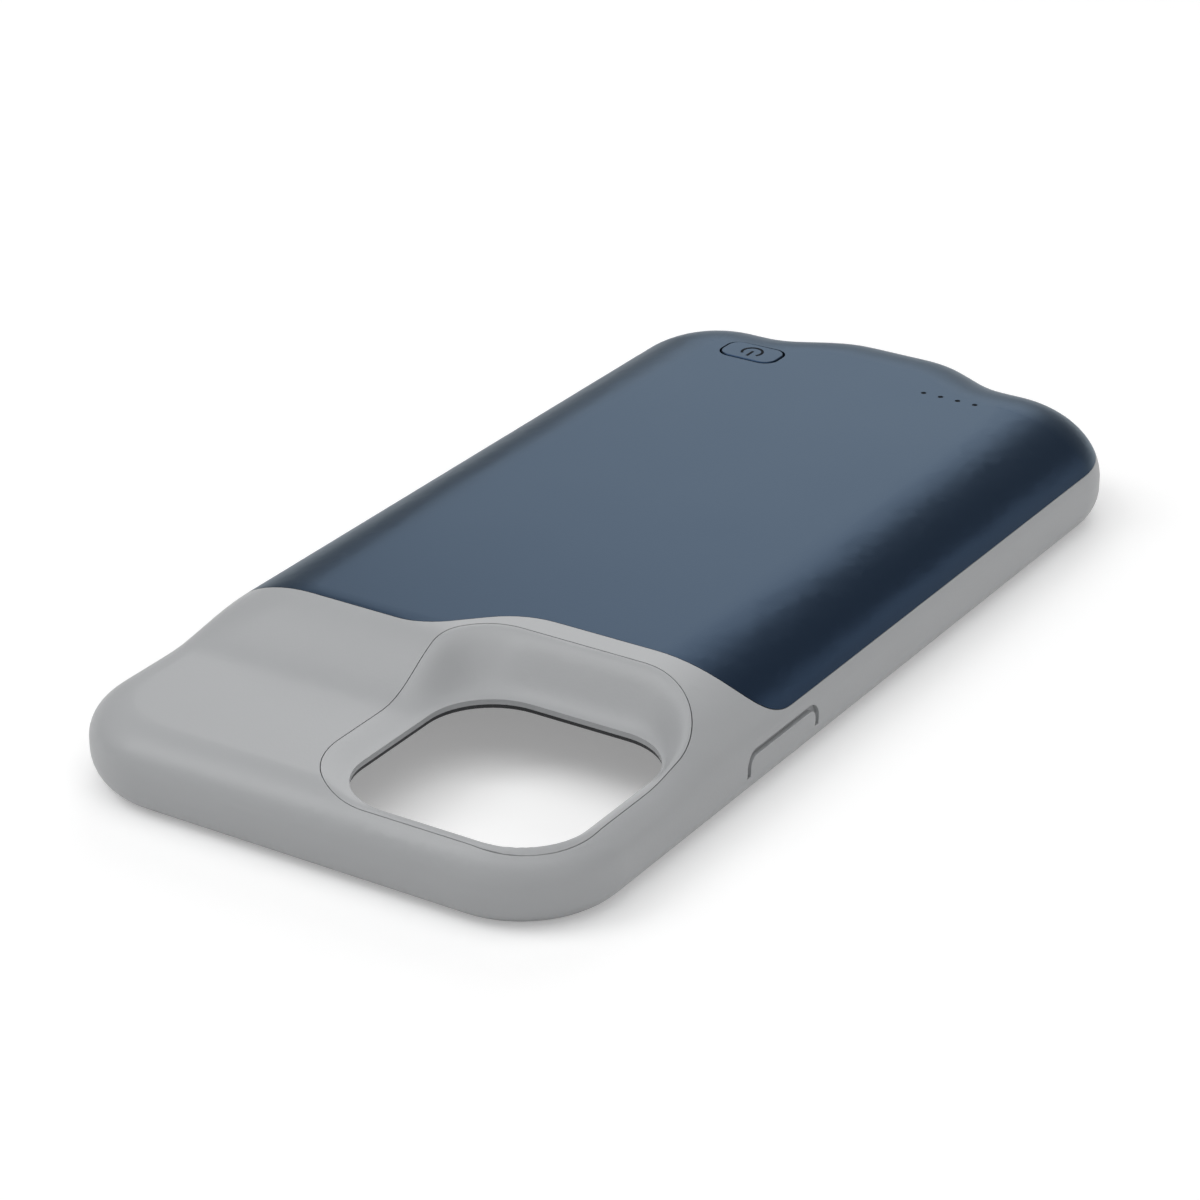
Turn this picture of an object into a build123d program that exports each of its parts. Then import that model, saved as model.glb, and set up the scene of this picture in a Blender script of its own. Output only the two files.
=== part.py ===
"""Battery charging case for a phone, lying on its front rim with its back up.

+Y is the camera end, the charging port is at the -Y end, X runs across, and the origin is
the middle of the footprint. Sizes are in millimetres.
"""

import os
from math import asin, cos, degrees, hypot, radians, sqrt

from build123d import *

os.makedirs("parts", exist_ok=True)

# Phone and the walls round it
PHONE_WIDTH = 71.5
PHONE_LENGTH = 146.7
PHONE_DEPTH = 7.8
PHONE_CORNER = 12.0
PHONE_PLAY = 0.2
SIDE_WALL = 2.05  # along both sides and the camera end
FAR_WALL = 2.95
LIP_DEPTH = 0.9
LIP_REACH = 1.65

# Outer form
CHIN_REACH = 5.0  # the chin with the charging port stands out this far
CHIN_FLAT = 7.2
CHIN_FOOT = 41.0
NEAR_CORNER = 14.5
FAR_CORNER = 15.6
FULL_HEIGHT = 16.2
THIN_HEIGHT = 10.7
FULL_SHOULDER = 15.2
THIN_SHOULDER = 6.0
SIDE_LEVEL = 6.05  # height of the widest line of the sides
LOWER_ROUND = 5.35
LOWER_CENTRE = 4.9
RAMP_CREST = 38.85  # camera end to the top of the ramp
RAMP_LENGTH = 16.75
BLEND_STEPS = 8
DISH_STEPS = 64

# Shells
TRAY_PLATE = 1.0
SHELF_REACH = 1.2  # bumper shelf round the tray's thin end
SHELF_START = 42.0
COVER_WALL = 1.3
LAP_PLAY = 0.15  # between the cover and the ribs inside it
LAP_ROOT = 0.2  # how far the bumper's rib is rooted in its wall
LAP_WALL = 1.0
PARTING = 9.1
JOINT_GAP = 0.08

# Curved edge between cover and bumper, measured from the camera end
WAVE_HIGH = 36.45
WAVE_LOW = 45.75
WAVE_MIDDLE = 1.3
WAVE_RADII = (9.0, 11.0)
SIDE_DROP = 8.4

# Camera window and the seam of its surround
WINDOW_SIZE = 32.0
WINDOW_CORNER = 9.0
WINDOW_X = -18.1
WINDOW_BACK = 19.25  # camera end to the middle of the window
WINDOW_LEVEL = 10.1
SEAM_LEFT = 2.8
SEAM_RIGHT = -35.1
SEAM_FAR = 42.15
SEAM_NEAR = 2.55
SEAM_CORNERS = (8.0, 11.5, 10.0, 11.5)  # far left, near left, near right, far right
SEAM_GAP = 0.12
SURROUND_WALL = 1.4
SURROUND_SINK = 0.4  # depth of the insert's seat in the tray
DISH_DROP = 0.03  # the insert lies this far below the outer form

# Keys, lights and side openings
BUTTON_LENGTH = 9.5
BUTTON_WIDTH = 5.9
BUTTON_CORNER = 2.2
BUTTON_X = 16.3
CONTROL_ROW = 16.4  # far end to the button and the lights
BUTTON_PLAY = 0.3
BUTTON_PROUD = 0.1
BUTTON_TRAVEL = 0.3
LIGHT_COUNT = 4
LIGHT_PITCH = 2.71
LIGHT_FIRST = -11.9
LIGHT_DIAMETER = 0.8
PAD_TOP = 7.4
PAD_FOOT = 4.0
PAD_CORNER = 2.2
PAD_GROOVE = 0.85
PAD_DEPTH = 0.65
SIDE_KEY = (51.25, 17.6)  # camera end to its middle, length
VOLUME_KEYS = ((48.5, 10.5), (61.0, 10.5))
SWITCH_SLOT = (33.5, 10.5)
SWITCH_SLOT_HEIGHT = 5.2
SOUND_SLOT = 11.0
SOUND_SLOT_X = 18.5
SOUND_SLOT_HEIGHT = 3.4

# Plug and port in the chin
CHIN_ROOM = 19.2
CHIN_SKIN = 1.5
CHIN_WALL = 0.7
PLUG_BOARD = 0.6
PLUG_WIDTH = 6.7
PLUG_THICKNESS = 1.5
PLUG_LENGTH = 6.8
PORT_WIDTH = 8.94
PORT_HEIGHT = 3.26
PORT_SHEET = 0.3
PORT_RECESS = 0.25

# Battery and electronics
CELL_WIDTH = 56.0
CELL_LENGTH = 73.5
CELL_DEPTH = 4.15
CELL_START = 49.05  # camera end to the near edge of the cell
TERRACE = 3.2
TAPE = 0.15
BOARD_WIDTH = 49.0
BOARD_LENGTH = 19.0
BOARD_FAR = 6.55  # far end to the far edge of the board
BOARD_STANDOFF = 0.8
BOARD_THICKNESS = 0.8

# Levels and lines that follow from the sizes above
CASE_WIDTH = PHONE_WIDTH + 2 * (PHONE_PLAY + SIDE_WALL)
BODY_LENGTH = SIDE_WALL + PHONE_LENGTH + 2 * PHONE_PLAY + FAR_WALL
HALF_WIDTH = CASE_WIDTH / 2
BUMPER_WALL = COVER_WALL + LAP_PLAY + LAP_ROOT
CAMERA_END = (BODY_LENGTH + CHIN_REACH) / 2
FAR_END = CAMERA_END - BODY_LENGTH
CHIN_END = FAR_END - CHIN_REACH
CREST_Y = CAMERA_END - RAMP_CREST
FOOT_Y = CREST_Y + RAMP_LENGTH
POCKET_TOP = CAMERA_END - SIDE_WALL
POCKET_END = FAR_END + FAR_WALL
POCKET_Y = (POCKET_TOP + POCKET_END) / 2
TRAY_FLOOR = LIP_DEPTH + PHONE_DEPTH + 0.1
TRAY_TOP = TRAY_FLOOR + TRAY_PLATE
COVER_INSIDE = FULL_HEIGHT - COVER_WALL
WINDOW_Y = CAMERA_END - WINDOW_BACK
CONTROL_Y = FAR_END + CONTROL_ROW
PHONE_MIDDLE = LIP_DEPTH + PHONE_DEPTH / 2
BOARD_TOP = TRAY_TOP + BOARD_STANDOFF + BOARD_THICKNESS
BOARD_Y = FAR_END + BOARD_FAR + BOARD_LENGTH / 2
CELL_Y = CAMERA_END - CELL_START - CELL_LENGTH / 2
CELL_FLOOR = TRAY_TOP + TAPE
CELL_TOP = CELL_FLOOR + CELL_DEPTH
PLUG_ROOT = POCKET_END - CHIN_WALL
PORT_ROOT = PLUG_ROOT - PLUG_BOARD
PORT_MOUTH = CHIN_END + PORT_RECESS
LIGHT_XS = [LIGHT_FIRST - step * LIGHT_PITCH for step in range(LIGHT_COUNT)]


def smooth(t):
    """Ease from 0 to 1 with level ends."""
    t = min(max(t, 0.0), 1.0)
    return t * t * (3 - 2 * t)


def swell(t):
    """Softer ease, whose ends are straight as well as level."""
    t = min(max(t, 0.0), 1.0)
    return t**3 * (10 - 15 * t + 6 * t * t)


def ramp(y, full, thin):
    """Value that runs from full on the battery part to thin at the camera end."""
    return full + swell((y - CREST_Y) / RAMP_LENGTH) * (thin - full)


def across(x, y):
    """Upright sketch plane whose first axis points to +X."""
    return Plane(origin=(x, y, 0), x_dir=(1, 0, 0), z_dir=(0, -1, 0))


def along(x, y, way):
    """Upright sketch plane whose first axis points to +Y or -Y."""
    return Plane(origin=(x, y, 0), x_dir=(0, way, 0), z_dir=(way, 0, 0))


def edge_profile(plane, reach, top, shoulder, inset):
    """Half section of the body, from the plane's origin out to the side."""
    shoulder = min(shoulder, reach - 0.3)
    lower = LOWER_ROUND - inset
    floor = max(0.0, LOWER_CENTRE - lower)
    fall = degrees(asin((LOWER_CENTRE - floor) / lower))
    lower_x = reach - LOWER_ROUND
    crest_x = reach - shoulder
    rise = top - inset - SIDE_LEVEL
    with BuildSketch(plane) as section:
        with BuildLine():
            Line((0, floor), (lower_x + lower * cos(radians(fall)), floor))
            CenterArc((lower_x, LOWER_CENTRE), lower, -fall, fall)
            Line((reach - inset, LOWER_CENTRE), (reach - inset, SIDE_LEVEL))
            EllipticalCenterArc((crest_x, SIDE_LEVEL), shoulder - inset, rise, arc_size=90)
            Line((crest_x, top - inset), (0, top - inset))
            Line((0, top - inset), (0, floor))
        make_face()
    return section.sketch


def body_form(inset):
    """Outer form of the whole body, drawn in by inset on all its outer faces."""
    near_axis = CAMERA_END - NEAR_CORNER
    near_x = HALF_WIDTH - NEAR_CORNER
    far_axis = FAR_END + FAR_CORNER
    far_x = HALF_WIDTH - FAR_CORNER
    full = (FULL_HEIGHT, FULL_SHOULDER, inset)
    thin = (THIN_HEIGHT, THIN_SHOULDER, inset)
    steps = [step / BLEND_STEPS for step in range(BLEND_STEPS + 1)]
    slope = []
    flank = []
    for t in steps:
        y = CREST_Y + t * RAMP_LENGTH
        top = ramp(y, FULL_HEIGHT, THIN_HEIGHT)
        shoulder = ramp(y, FULL_SHOULDER, THIN_SHOULDER)
        slope.append(edge_profile(across(0, y), HALF_WIDTH, top, shoulder, inset))
        x = (CHIN_FOOT + t * (CHIN_FLAT - CHIN_FOOT)) / 2
        reach = FAR_CORNER + CHIN_REACH * swell(t)
        flank.append(edge_profile(along(x, far_axis, -1), reach, *full))
    with BuildPart() as form:
        extrude(edge_profile(across(0, CREST_Y), HALF_WIDTH, *full), amount=CREST_Y - far_axis)
        loft(slope)
        extrude(edge_profile(across(0, near_axis), HALF_WIDTH, *thin), amount=near_axis - FOOT_Y)
        turn = Axis((near_x, near_axis, 0), (0, 0, 1))
        revolve(edge_profile(across(near_x, near_axis), NEAR_CORNER, *thin), turn, 90)
        extrude(edge_profile(along(0, near_axis, 1), NEAR_CORNER, *thin), amount=near_x)
        turn = Axis((far_x, far_axis, 0), (0, 0, -1))
        revolve(edge_profile(across(far_x, far_axis), FAR_CORNER, *full), turn, 90)
        straight = far_x - CHIN_FOOT / 2
        extrude(edge_profile(along(far_x, far_axis, -1), FAR_CORNER, *full), amount=straight)
        loft(flank)
        tip = edge_profile(along(CHIN_FLAT / 2, far_axis, -1), FAR_CORNER + CHIN_REACH, *full)
        extrude(tip, amount=CHIN_FLAT / 2)
        mirror(about=Plane.YZ)
    return form.part


def outline_distance(x, y, sides, corners):
    """Signed distance from a rounded outline, negative inside it."""
    left, right, far, near = sides
    middle_x, middle_y = (left + right) / 2, (far + near) / 2
    if x > middle_x:
        radius = corners[0] if y < middle_y else corners[1]
    else:
        radius = corners[3] if y < middle_y else corners[2]
    out_x = abs(x - middle_x) - (left - right) / 2 + radius
    out_y = abs(y - middle_y) - (near - far) / 2 + radius
    return hypot(max(out_x, 0), max(out_y, 0)) + min(max(out_x, out_y), 0) - radius


def outer_height(x, y):
    """Height of the outer form over a point beside the camera."""
    body = (HALF_WIDTH, -HALF_WIDTH, FAR_END, CAMERA_END)
    inset = max(-outline_distance(x, y, body, (NEAR_CORNER,) * 4), 0.2)
    rise = ramp(y, FULL_HEIGHT, THIN_HEIGHT) - SIDE_LEVEL
    fall = 1 - min(inset / ramp(y, FULL_SHOULDER, THIN_SHOULDER), 1.0)
    return SIDE_LEVEL + rise * sqrt(1 - fall * fall)


SEAM_SIDES = (SEAM_LEFT, SEAM_RIGHT, CAMERA_END - SEAM_FAR, CAMERA_END - SEAM_NEAR)
WINDOW_SIDES = (
    WINDOW_X + WINDOW_SIZE / 2,
    WINDOW_X - WINDOW_SIZE / 2,
    WINDOW_Y - WINDOW_SIZE / 2,
    WINDOW_Y + WINDOW_SIZE / 2,
)


def dish_height(x, y):
    """Height of the camera surround, level at the window and flush at the seam."""
    outside = max(outline_distance(x, y, WINDOW_SIDES, (WINDOW_CORNER,) * 4), 0.0)
    inside = max(-outline_distance(x, y, SEAM_SIDES, SEAM_CORNERS), 0.0)
    part = outside / (outside + inside) if outside > 0 else 0.0
    return WINDOW_LEVEL + (outer_height(x, y) - DISH_DROP - WINDOW_LEVEL) * smooth(part)


def dish_block():
    """Solid under the surface of the camera surround, a little wider than its seam."""
    left, right, far, near = SEAM_SIDES
    steps = [step / DISH_STEPS for step in range(DISH_STEPS + 1)]
    sections = []
    for y in [far - 0.6 + t * (near - far + 1.2) for t in steps]:
        crest = [Vector(right - 0.6 + t * (left - right + 1.2), 0) for t in steps]
        crest = [Vector(point.X, dish_height(point.X, y)) for point in crest]
        with BuildSketch(across(0, y)) as section:
            with BuildLine():
                add(Edge.make_spline(crest, parameters=steps))
                Polyline(crest[-1], (crest[-1].X, 0), (crest[0].X, 0), crest[0])
            make_face()
        sections.append(section.sketch)
    with BuildPart() as block:
        loft(sections)
    return block.part


def rounded_outline(sides, corners, grow):
    """Rounded outline on the ground plane, let out by grow."""
    left, right, far, near = sides
    points = [
        (left + grow, far - grow),
        (left + grow, near + grow),
        (right - grow, near + grow),
        (right - grow, far - grow),
    ]
    with BuildSketch() as outline:
        with BuildLine():
            FilletPolyline(*points, radius=[corner + grow for corner in corners], close=True)
        make_face()
    return outline.sketch


def phone_outline(grow):
    """Plan of the phone, let out by grow."""
    with BuildSketch() as outline:
        with Locations((0, POCKET_Y)):
            RectangleRounded(PHONE_WIDTH + 2 * grow, PHONE_LENGTH + 2 * grow, PHONE_CORNER + grow)
    return outline.sketch


def cover_plan(shift):
    """Plan of everything on the cover's side of the curved edge, moved by shift in +Y."""
    high = CAMERA_END - WAVE_HIGH + shift
    low = CAMERA_END - WAVE_LOW + shift
    lean = (high - low) / 2
    far = CHIN_END - 10
    points = [
        (CASE_WIDTH, far),
        (CASE_WIDTH, high),
        (WAVE_MIDDLE + lean, high),
        (WAVE_MIDDLE - lean, low),
        (-CASE_WIDTH, low),
        (-CASE_WIDTH, far),
    ]
    with BuildSketch() as plan:
        with BuildLine():
            FilletPolyline(*points, radius=[0, 0, *WAVE_RADII, 0, 0], close=True)
        make_face()
    return plan.sketch


def cover_zone(grow):
    """Space of the cover: above the parting level, with its front corners rounded down."""
    bottom = PARTING - grow
    with BuildPart() as zone:
        extrude(Pos(0, 0, bottom) * cover_plan(grow), amount=2 * FULL_HEIGHT)
        front = zone.edges().filter_by(lambda edge: abs(edge.center().Z - bottom) < 1e-6)
        front = front.filter_by(lambda edge: edge.center().Y > CAMERA_END - WAVE_LOW - 1)
        fillet(front, SIDE_DROP)
    return zone.part


def layer(bottom, top, sketch):
    """Upright prism of a plan between two levels."""
    with BuildPart() as prism:
        extrude(Pos(0, 0, bottom) * sketch, amount=top - bottom)
    return prism.part


def lap_rib(bottom, top, near, far):
    """Wall that lies just inside the cover between two levels and two lines across."""
    with BuildPart() as rib:
        add(LAP_FORM)
        add(LAP_CORE, mode=Mode.SUBTRACT)
        with Locations((0, (near + far) / 2, (bottom + top) / 2)):
            Box(2 * CASE_WIDTH, near - far, top - bottom, mode=Mode.INTERSECT)
    return rib.part


def pad_groove(side, back, length):
    """Groove over a side key pad, open below, cut into one long side."""
    plane = Plane.YZ.offset(side * HALF_WIDTH)
    height = 2 * (PAD_TOP - PAD_FOOT)
    with BuildPart() as groove:
        with BuildSketch(plane):
            with Locations((CAMERA_END - back, PAD_FOOT)):
                RectangleRounded(length, height, PAD_CORNER)
                inner = (length - 2 * PAD_GROOVE, height - 2 * PAD_GROOVE)
                RectangleRounded(*inner, PAD_CORNER - PAD_GROOVE, mode=Mode.SUBTRACT)
                below = (Align.CENTER, Align.MAX)
                Rectangle(2 * length, height, align=below, mode=Mode.SUBTRACT)
        extrude(amount=PAD_DEPTH, both=True)
    return groove.part


def upright_slot(plane, x, length, height, depth):
    """Rounded slot at the phone's middle level, through both sides of a plane."""
    with BuildPart() as slot:
        with BuildSketch(plane):
            with Locations((x, PHONE_MIDDLE)):
                RectangleRounded(length, height, height * 0.49)
        extrude(amount=depth, both=True)
    return slot.part


def slab(x, y, bottom, size):
    """Flat block standing on a level."""
    with BuildPart() as block:
        with Locations((x, y, bottom)):
            Box(*size, align=(Align.CENTER, Align.CENTER, Align.MIN))
    return block.part


def finish(builder, label):
    """Name a piece and write it to its file."""
    builder.part.label = label
    export_step(builder.part, f"parts/{label}.step")


OUTER_FORM = body_form(0)
COVER_CORE = body_form(COVER_WALL)
BUMPER_CORE = body_form(BUMPER_WALL)
LAP_FORM = body_form(COVER_WALL + LAP_PLAY)
LAP_CORE = body_form(COVER_WALL + LAP_PLAY + LAP_WALL)
POCKET = phone_outline(PHONE_PLAY)
WINDOW = rounded_outline(WINDOW_SIDES, (WINDOW_CORNER,) * 4, 0)
BAY_END = FOOT_Y - RAMP_LENGTH * 0.24
WAVE_LINE = CAMERA_END - WAVE_LOW

# Soft bumper
def shelf(play):
    """Ledge of the bumper under which the phone's edge lies at the thin end."""
    with BuildPart() as ledge:
        add(layer(TRAY_FLOOR, TRAY_TOP, phone_outline(2 * PHONE_PLAY)))
        add(layer(TRAY_FLOOR, TRAY_TOP, phone_outline(-SHELF_REACH - play)), mode=Mode.SUBTRACT)
        add(layer(TRAY_FLOOR, TRAY_TOP, WINDOW), mode=Mode.SUBTRACT)
        with Locations((0, SHELF_START - play, TRAY_FLOOR)):
            Box(2 * PHONE_WIDTH, PHONE_LENGTH, 4 * TRAY_PLATE, align=(Align.CENTER, Align.MIN, Align.CENTER),
                mode=Mode.INTERSECT)
    return ledge.part


with BuildPart() as bumper:
    add(OUTER_FORM)
    add(cover_zone(JOINT_GAP), mode=Mode.SUBTRACT)
    with BuildPart(mode=Mode.SUBTRACT):
        add(BUMPER_CORE)
        with Locations((0, BAY_END - BODY_LENGTH, TRAY_TOP + FULL_HEIGHT)):
            Box(2 * CASE_WIDTH, 2 * BODY_LENGTH, 2 * FULL_HEIGHT, mode=Mode.INTERSECT)
    with BuildPart():
        add(lap_rib(TRAY_TOP, FULL_HEIGHT, BAY_END, WAVE_LINE - 4))
        add(layer(0, 2 * FULL_HEIGHT, cover_plan(1.6)), mode=Mode.INTERSECT)
        add(layer(0, 2 * FULL_HEIGHT, cover_plan(-2.0)), mode=Mode.SUBTRACT)
    add(layer(LIP_DEPTH, TRAY_FLOOR, POCKET), mode=Mode.SUBTRACT)
    with BuildPart(mode=Mode.SUBTRACT):
        add(layer(TRAY_FLOOR, TRAY_TOP, POCKET))
        add(shelf(0.0), mode=Mode.SUBTRACT)
    add(layer(-1, LIP_DEPTH, phone_outline(-LIP_REACH)), mode=Mode.SUBTRACT)
    seam_plan = rounded_outline(SEAM_SIDES, SEAM_CORNERS, SEAM_GAP)
    add(layer(TRAY_TOP - SURROUND_SINK, 2 * FULL_HEIGHT, seam_plan), mode=Mode.SUBTRACT)
    for room, back in ((CHIN_ROOM, PORT_ROOT - 0.3), (PORT_WIDTH + 1.2, CHIN_END + CHIN_SKIN)):
        with Locations((0, (POCKET_END + back) / 2, PARTING)):
            room_height = 2 * (PARTING - LIP_DEPTH - 0.5)
            Box(room, POCKET_END - back, room_height, mode=Mode.SUBTRACT)
    back_plane = Plane.XZ.offset(-CHIN_END)
    port_hole = upright_slot(back_plane, 0, PORT_WIDTH + 0.2, PORT_HEIGHT + 0.2, 2 * CHIN_SKIN)
    add(port_hole, mode=Mode.SUBTRACT)
    recess = upright_slot(back_plane, 0, PORT_WIDTH + 1.7, PORT_HEIGHT + 1.5, PORT_RECESS)
    add(recess, mode=Mode.SUBTRACT)
    for side in (-1, 1):
        reach = CHIN_REACH + (POCKET_END - FAR_END) + 1
        slot = upright_slot(back_plane, side * SOUND_SLOT_X, SOUND_SLOT, SOUND_SLOT_HEIGHT, reach)
        add(slot, mode=Mode.SUBTRACT)
    add(pad_groove(-1, *SIDE_KEY), mode=Mode.SUBTRACT)
    for key in VOLUME_KEYS:
        add(pad_groove(1, *key), mode=Mode.SUBTRACT)
    side_plane = Plane.YZ.offset(HALF_WIDTH)
    slot_y = CAMERA_END - SWITCH_SLOT[0]
    slot = upright_slot(side_plane, slot_y, SWITCH_SLOT[1], SWITCH_SLOT_HEIGHT, 2 * SIDE_WALL)
    add(slot, mode=Mode.SUBTRACT)
finish(bumper, "bumper")

# Hard back cover
with BuildPart() as back_cover:
    add(OUTER_FORM)
    add(COVER_CORE, mode=Mode.SUBTRACT)
    add(cover_zone(0), mode=Mode.INTERSECT)
    with BuildSketch(Plane.XY.offset(COVER_INSIDE - 1)):
        with Locations((BUTTON_X, CONTROL_Y)):
            RectangleRounded(BUTTON_LENGTH, BUTTON_WIDTH, BUTTON_CORNER)
        with Locations([(x, CONTROL_Y) for x in LIGHT_XS]):
            Circle(LIGHT_DIAMETER / 2)
    extrude(amount=4, mode=Mode.SUBTRACT)
finish(back_cover, "back_cover")

# Insert round the camera window
with BuildPart() as camera_surround:
    dish = dish_block()
    insert_plan = rounded_outline(SEAM_SIDES, SEAM_CORNERS, 0)
    add(layer(TRAY_TOP - SURROUND_SINK, 2 * FULL_HEIGHT, insert_plan))
    add(dish, mode=Mode.INTERSECT)
    with BuildPart(mode=Mode.SUBTRACT):
        add(layer(0, FULL_HEIGHT, rounded_outline(SEAM_SIDES, SEAM_CORNERS, -SURROUND_WALL)))
        add(Pos(0, 0, -SURROUND_WALL) * dish, mode=Mode.INTERSECT)
    add(layer(0, 2 * FULL_HEIGHT, WINDOW), mode=Mode.SUBTRACT)
finish(camera_surround, "camera_surround")

# Stiff tray between the phone and the battery
posts = [(x, BOARD_Y + y) for x, y in ((-BOARD_WIDTH * 0.44, -5.5), (BOARD_WIDTH * 0.44, 6.5))]
with BuildPart() as inner_tray:
    add(layer(TRAY_FLOOR, TRAY_TOP, phone_outline(PHONE_PLAY - 0.05)))
    add(shelf(0.05), mode=Mode.SUBTRACT)
    with BuildPart(mode=Mode.SUBTRACT):
        add(cover_zone(JOINT_GAP))
        add(LAP_FORM, mode=Mode.SUBTRACT)
    window_clear = rounded_outline(WINDOW_SIDES, (WINDOW_CORNER,) * 4, 0.2)
    add(layer(0, 2 * FULL_HEIGHT, window_clear), mode=Mode.SUBTRACT)
    insert_seat = rounded_outline(SEAM_SIDES, SEAM_CORNERS, SEAM_GAP / 2)
    add(layer(TRAY_TOP - SURROUND_SINK, FULL_HEIGHT, insert_seat), mode=Mode.SUBTRACT)
    add(lap_rib(TRAY_TOP, TRAY_TOP + 1.8, WAVE_LINE - 5.5, POCKET_END + 2))
    wall_floor = LIP_DEPTH + 0.7
    wall_size = (CHIN_ROOM - 0.4, CHIN_WALL, TRAY_TOP - wall_floor)
    add(slab(0, PLUG_ROOT + CHIN_WALL / 2, wall_floor, wall_size))
    add(slab(0, POCKET_END, TRAY_FLOOR, (CHIN_ROOM - 0.4, 2 * CHIN_WALL, TRAY_PLATE)))
    plug_hole = Plane.XZ.offset(-POCKET_END)
    plug_hole = upright_slot(plug_hole, 0, PLUG_WIDTH + 0.2, PLUG_THICKNESS + 0.2, 2 * CHIN_WALL)
    add(plug_hole, mode=Mode.SUBTRACT)
    with BuildSketch(Plane.XY.offset(TRAY_TOP)):
        with Locations(posts):
            Circle(1.6)
    extrude(amount=BOARD_STANDOFF)
    with BuildSketch(Plane.XY.offset(TRAY_TOP)):
        with Locations(posts):
            Circle(0.7)
    extrude(amount=BOARD_STANDOFF + BOARD_THICKNESS + 0.4)
finish(inner_tray, "inner_tray")

# Power button and its switch
SWITCH_SPARE = 0.1  # left under the stem and the plunger when the key is down
switch_top = BOARD_TOP + 1.65
plunger_top = switch_top + BUTTON_TRAVEL + SWITCH_SPARE
flange_top = COVER_INSIDE - 0.12
with BuildPart() as power_button:
    flange_size = (BUTTON_LENGTH + 1.2, BUTTON_WIDTH + 1.2, 0.8)
    add(slab(BUTTON_X, CONTROL_Y, flange_top - 0.8, flange_size))
    with BuildSketch(Plane.XY.offset(flange_top)):
        with Locations((BUTTON_X, CONTROL_Y)):
            cap_size = (BUTTON_LENGTH - 2 * BUTTON_PLAY, BUTTON_WIDTH - 2 * BUTTON_PLAY)
            RectangleRounded(*cap_size, BUTTON_CORNER - BUTTON_PLAY)
    extrude(amount=FULL_HEIGHT + BUTTON_PROUD - flange_top)
    chamfer(power_button.faces().sort_by(Axis.Z)[-1].edges(), 0.12)
    with BuildSketch(Plane.XY.offset(plunger_top)):
        with Locations((BUTTON_X, CONTROL_Y)):
            Circle(1.4)
    extrude(amount=flange_top - 0.4 - plunger_top)
finish(power_button, "power_button")

plunger_reach = 0.5  # depth of the plunger's foot in the switch
with BuildPart() as power_switch:
    add(slab(BUTTON_X, CONTROL_Y, BOARD_TOP, (4.5, 4.5, 1.65)))
    with Locations((BUTTON_X, CONTROL_Y, switch_top)):
        Hole(1.2, plunger_reach + BUTTON_TRAVEL + SWITCH_SPARE)
finish(power_switch, "power_switch")

with BuildPart() as switch_plunger:
    with Locations((BUTTON_X, CONTROL_Y, plunger_top)):
        plunger_length = plunger_reach + BUTTON_TRAVEL + SWITCH_SPARE
        Cylinder(1.1, plunger_length, align=(Align.CENTER, Align.CENTER, Align.MAX))
finish(switch_plunger, "switch_plunger")

# Charge lights and the strip that carries their light to the back
light_middle = sum(LIGHT_XS) / LIGHT_COUNT
light_span = (LIGHT_COUNT - 1) * LIGHT_PITCH
with BuildPart() as light_guide:
    guide_floor = BOARD_TOP + 0.9
    guide_size = (light_span + 4, 2.6, COVER_INSIDE - 0.02 - guide_floor)
    add(slab(light_middle, CONTROL_Y, guide_floor, guide_size))
    with BuildSketch(Plane.XY.offset(COVER_INSIDE - 0.5)):
        with Locations([(x, CONTROL_Y) for x in LIGHT_XS]):
            Circle(LIGHT_DIAMETER / 2 - 0.04)
    extrude(amount=FULL_HEIGHT - 0.03 - COVER_INSIDE + 0.5)
finish(light_guide, "light_guide")

with BuildPart() as status_lights:
    with Locations([(x, CONTROL_Y, BOARD_TOP) for x in LIGHT_XS]):
        Box(1.6, 0.8, 0.55, align=(Align.CENTER, Align.CENTER, Align.MIN))
finish(status_lights, "status_lights")

# Main board and what stands on it
with BuildPart() as main_board:
    board_size = (BOARD_WIDTH, BOARD_LENGTH, BOARD_THICKNESS)
    add(slab(0, BOARD_Y, TRAY_TOP + BOARD_STANDOFF, board_size))
    chamfer(main_board.edges().filter_by(Axis.Z), 2.0)
    with Locations([(x, y, BOARD_TOP) for x, y in posts]):
        Hole(0.75)
finish(main_board, "main_board")

with BuildPart() as charge_controller:
    add(slab(6.2, BOARD_Y - 0.6, BOARD_TOP, (5.0, 5.0, 0.9)))
    with Locations((4.5, BOARD_Y + 1.1, BOARD_TOP + 0.9)):
        Hole(0.35, 0.15)
finish(charge_controller, "charge_controller")

with BuildPart() as boost_inductor:
    add(slab(-3.4, BOARD_Y - 0.6, BOARD_TOP, (6.6, 6.6, 2.8)))
    chamfer(boost_inductor.edges().filter_by(Axis.Z), 1.2)
    chamfer(boost_inductor.faces().sort_by(Axis.Z)[-1].edges(), 0.35)
finish(boost_inductor, "boost_inductor")

capacitor_spots = [(-8.6, 4.4), (-8.6, 6.6), (8.6, 4.4), (8.6, 6.6), (11.6, 4.4), (11.6, 6.6)]
capacitor_spots += [(10.8, -3.0), (10.8, -0.6), (-8.6, -4.6), (-11.6, -4.6)]
with BuildPart() as capacitors:
    with Locations([(x, BOARD_Y + y, BOARD_TOP) for x, y in capacitor_spots]):
        Box(2.0, 1.25, 1.2, align=(Align.CENTER, Align.CENTER, Align.MIN))
finish(capacitors, "capacitors")

socket_y = BOARD_Y + BOARD_LENGTH / 2 - 2.6
socket_top = BOARD_TOP + 2.2
with BuildPart() as battery_socket:
    add(slab(0, socket_y, BOARD_TOP, (6.2, 4.0, 2.2)))
    with Locations((0, socket_y + 2.0, BOARD_TOP + 1.2)):
        Box(4.6, 1.2, 1.3, mode=Mode.SUBTRACT)
finish(battery_socket, "battery_socket")

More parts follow.
